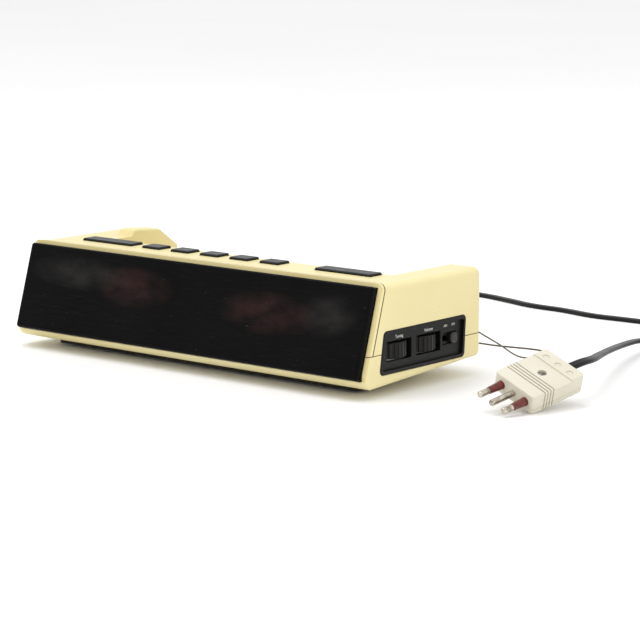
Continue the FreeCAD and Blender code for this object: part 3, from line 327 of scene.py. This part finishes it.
SLOTS = {part["node"]: part["material_slot"] for part in frame["record"]["subparts"]}
for node_name, node in frame["nodes"].items():
    node.data.materials.clear()
    node.data.materials.append(MATERIALS[SLOTS[node_name]])


def dressed(obj, slot, body="housing"):
    obj.data.materials.clear()
    obj.data.materials.append(MATERIALS[slot])
    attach(obj, body)
    return obj


def linked(name, mesh):
    obj = bpy.data.objects.new(name, mesh)
    SCENE.collection.objects.link(obj)
    return obj


# ---------------------------------------------------------------- cords
LINE_ROUTE = [
    (-66.5, 73, 30.5), (-66.5, 94, 29), (-68.5, 122, 13), (-72.5, 158, 2), (-80.5, 195, 1.5),
    (-84.5, 232, 1.5), (-74.5, 265, 1.5), (-50.5, 284, 1.5), (-24.5, 286.5, 1.5), (5.5, 278.5, 1.5),
    (31.5, 270, 1.5), (57.5, 270.5, 1.5), (85.5, 263, 1.5), (111.5, 265.5, 1.5), (139.5, 266, 1.5),
    (169.5, 273, 1.5), (198.5, 275.6, 1.5),
]
LEAD_ROUTE = [
    (210.3, 208.5, 4.6), (197.1, 203.7, 4.6), (185.1, 190.3, 6.2), (180.7, 172.8, 8.4), (189, 143, 10.8),
    (202.5, 107, 14.2), (218.5, 71, 18), (231.5, 46, 21.2), (232.6, 30.9, 21.6), (230.4, 18.6, 19.0),
]
WIRE_ROUTE = [
    (120.5, 58.3, 30.5), (120.9, 64.5, 29.7), (124, 70.5, 25.2), (129.5, 75.5, 20.2), (133.5, 81, 16.1),
    (135, 89.5, 11.3), (136, 99, 5.2), (137.5, 108, 1.2), (140, 117.5, 0.6), (141, 127.5, 0.5),
    (137.5, 136, 0.5), (129, 140.5, 0.5), (117.5, 139.5, 0.5), (106.5, 137, 0.5), (95.5, 135, 0.5),
    (81.5, 136, 0.5), (63.5, 132, 0.5), (43.5, 122, 0.5), (25.5, 112, 0.5), (9.5, 107.2, 0.5),
]
LINE_WIDTH, LINE_THICKNESS, WIRE_D = 5.4, 3.0, 1.0
LAYER_RISE = 3.1          # from the coil's lower layer of flat cord to its upper one
WIRE_LAYER = 1.15         # between the layers of the small hank
PLUG_ROLL = 21.9          # degrees that the plug is rolled, which the cord twists into
TWIST_LENGTH = 85         # the stretch of cord before the plug that takes up the twist


def line_coil():
    """Two flat layers: inwards on the table, then outwards on top, to leave towards the plug."""
    centre, outer, inner, whole, per_turn = (198.5, 241), 34.6, 22.2, 1600, 20
    climb_from, climb_share = 0.46, 0.08
    steps = int(whole / 360 * per_turn)
    points = []
    for i in range(1, steps):
        share = i / steps
        angle = math.radians(90 - whole * share)
        radius = outer + (inner - outer) * min(share, 1 - share) * 2
        climb = min(max((share - climb_from) / climb_share, 0), 1)
        height = LINE_THICKNESS / 2 + LAYER_RISE * climb
        points.append((centre[0] + radius * math.cos(angle), centre[1] + radius * math.sin(angle), height))
    return points


def wire_coil():
    """A small hank of the aerial wire: three layers of four turns."""
    centre, outer, spacing, per_turn = (9.5, 100), 7.2, 1.25, 14
    layers, turns = 3, 4
    points = []
    for layer in range(layers):
        radii = [outer - spacing * k for k in range(turns)]
        if layer % 2:
            radii.reverse()
        for k, radius in enumerate(radii):
            for i in range(per_turn):
                share = i / per_turn
                ahead = radii[min(k + 1, turns - 1)]
                r = radius + (ahead - radius) * share
                angle = math.radians(90 + 360 * share)
                height = WIRE_D / 2 + WIRE_LAYER * layer
                points.append((centre[0] + r * math.cos(angle), centre[1] + r * math.sin(angle), height))
    return points[1:-3]


def spline(name, route):
    curve = bpy.data.curves.new(name, "CURVE")
    curve.dimensions = "3D"
    curve.resolution_u = 6
    line = curve.splines.new("NURBS")
    line.points.add(len(route) - 1)
    for point, place in zip(line.points, route):
        point.co = (*[c * MM for c in place], 1.0)
    line.order_u = 3
    line.use_endpoint_u = True
    return linked(name, curve)


def read_line(obj):
    """The points of a curve with no bevel, in order."""
    seen = obj.evaluated_get(bpy.context.evaluated_depsgraph_get())
    mesh = bpy.data.meshes.new_from_object(seen)
    return [v.co.copy() for v in mesh.vertices]


def flat_section():
    """Half-width and half-thickness of the flat cord's outline, with a shallow channel along each face."""
    outline = []
    steps, side_round, face_round, channel_depth, channel_half = 28, 0.72, 0.62, 0.16, 0.16
    for i in range(steps):
        a = 2 * math.pi * i / steps
        c, s = math.cos(a), math.sin(a)
        across = math.copysign(abs(c) ** side_round, c)
        up = math.copysign(abs(s) ** face_round, s)
        channel = 1 - channel_depth * math.exp(-(across / channel_half) ** 2)
        outline.append((across * LINE_WIDTH / 2 * MM, up * channel * LINE_THICKNESS / 2 * MM))
    return outline


def flat_cord(name, line):
    """A band that follows the line, its width kept level, then turned gently into the plug's tilt."""
    outline = flat_section()
    count = len(outline)
    verts, faces = [], []
    length = [0.0]
    for a, b in zip(line, line[1:]):
        length.append(length[-1] + (b - a).length)
    total = length[-1]
    for i, place in enumerate(line):
        ahead = (line[min(i + 1, len(line) - 1)] - line[max(i - 1, 0)]).normalized()
        side = ahead.cross(Vector((0, 0, 1))).normalized()
        up = side.cross(ahead).normalized()
        twist = max(0.0, 1 - (total - length[i]) / (TWIST_LENGTH * MM))
        roll = math.radians(PLUG_ROLL) * twist * twist * (3 - 2 * twist)
        # travelling towards -Y here, the plug's right edge is on this band's left
        across = side * math.cos(roll) + up * math.sin(roll)
        normal = up * math.cos(roll) - side * math.sin(roll)
        verts += [place + across * u + normal * v for u, v in outline]
    for i in range(len(line) - 1):
        for j in range(count):
            k = (j + 1) % count
            faces.append((i * count + j, (i + 1) * count + j, (i + 1) * count + k, i * count + k))
    faces.append(tuple(range(count)))
    last = (len(line) - 1) * count
    faces.append(tuple(last + j for j in reversed(range(count))))
    mesh = bpy.data.meshes.new(name)
    mesh.from_pydata([tuple(v) for v in verts], [], faces)
    mesh.update()
    for face in mesh.polygons:
        face.use_smooth = len(face.vertices) == 4
    return linked(name, mesh)


guide = spline("line_guide", LINE_ROUTE + line_coil() + LEAD_ROUTE)
line_path = read_line(guide)
bpy.data.objects.remove(guide)
line_cord = dressed(flat_cord("flat_line_cord", line_path), "cord_black")
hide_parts("line_cord", "line_cord_coil", "plug_lead")

wire = spline("aerial_wire", WIRE_ROUTE + wire_coil())
wire.data.bevel_depth = WIRE_D / 2 * MM
wire.data.bevel_resolution = 4
wire.data.use_fill_caps = True
dressed(wire, "wire_brown")
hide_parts("antenna_wire", "antenna_wire_coil")


# ---------------------------------------------------------------- printing on the control side
FIELD_X = 142.1           # the face of the sunk field that the lettering is printed on
LABEL_Z = 33.3            # the baseline
PRINT_RAISE = 0.03


def label(name, words, y, z, height):
    """Plain white lettering on the control panel, read from the +X side and centred on y."""
    text = bpy.data.curves.new(name, "FONT")
    text.body = words
    text.size = height * MM
    text.align_x = "CENTER"
    text.extrude = PRINT_RAISE * MM
    typed = linked(name + "_typed", text)
    mesh = bpy.data.meshes.new_from_object(typed.evaluated_get(bpy.context.evaluated_depsgraph_get()))
    bpy.data.objects.remove(typed)
    for vertex in mesh.vertices:
        across, up, out = vertex.co
        vertex.co = ((FIELD_X + PRINT_RAISE) * MM + out, y * MM + across, z * MM + up)
    mesh.materials.clear()
    mesh.materials.append(MATERIALS["print_white"])
    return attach(linked(name, mesh), "housing")


label("tuning_label", "Tuning", -22.9, LABEL_Z, 2.7)
label("volume_label", "Volume", 5.2, LABEL_Z, 2.7)
label("band_label_left", "AM", 21.8, LABEL_Z, 2.3)
label("band_label_right", "FM", 29.4, LABEL_Z, 2.3)


# ---------------------------------------------------------------- stage, light and camera
def floor():
    mesh = bpy.data.meshes.new("floor")
    reach = 14.0
    corners = [(-reach, -reach, 0), (reach, -reach, 0), (reach, reach, 0), (-reach, reach, 0)]
    mesh.from_pydata(corners, [], [(0, 1, 2, 3)])
    obj = linked("floor", mesh)
    m = Maker("pale_floor", 0.6)
    m.colour(m.ramp(m.noise(2.0, 2.0), [(0.3, (0.93, 0.93, 0.93, 1)), (0.7, (0.96, 0.96, 0.96, 1))]))
    mesh.materials.append(m.mat)


def area_light(name, place, target, size, power):
    data = bpy.data.lights.new(name, "AREA")
    data.shape = "RECTANGLE"
    data.size, data.size_y = size
    data.energy = power
    obj = linked(name, data)
    obj.location = place
    obj.rotation_euler = (Vector(target) - Vector(place)).to_track_quat("-Z", "Y").to_euler()


floor()
world = bpy.data.worlds.new("studio")
SCENE.world = world
world.use_nodes = True
world.node_tree.nodes["Background"].inputs["Color"].default_value = (1, 1, 1, 1)
world.node_tree.nodes["Background"].inputs["Strength"].default_value = 0.96
area_light("key", (-0.4, -0.4, 1.8), (0, 0, 0), (1.4, 1.4), 16)
area_light("side", (2.0, -0.3, 0.9), (0, 0, 0.03), (1.2, 1.2), 5)

camera_data = bpy.data.cameras.new("camera")
camera_data.lens = 144.45
camera_data.sensor_width = 36.0
camera = linked("camera", camera_data)
camera.location = (1.04987, -1.18461, 0.30289)
camera.rotation_euler = (math.radians(80.02), 0, math.radians(39.8))
SCENE.camera = camera
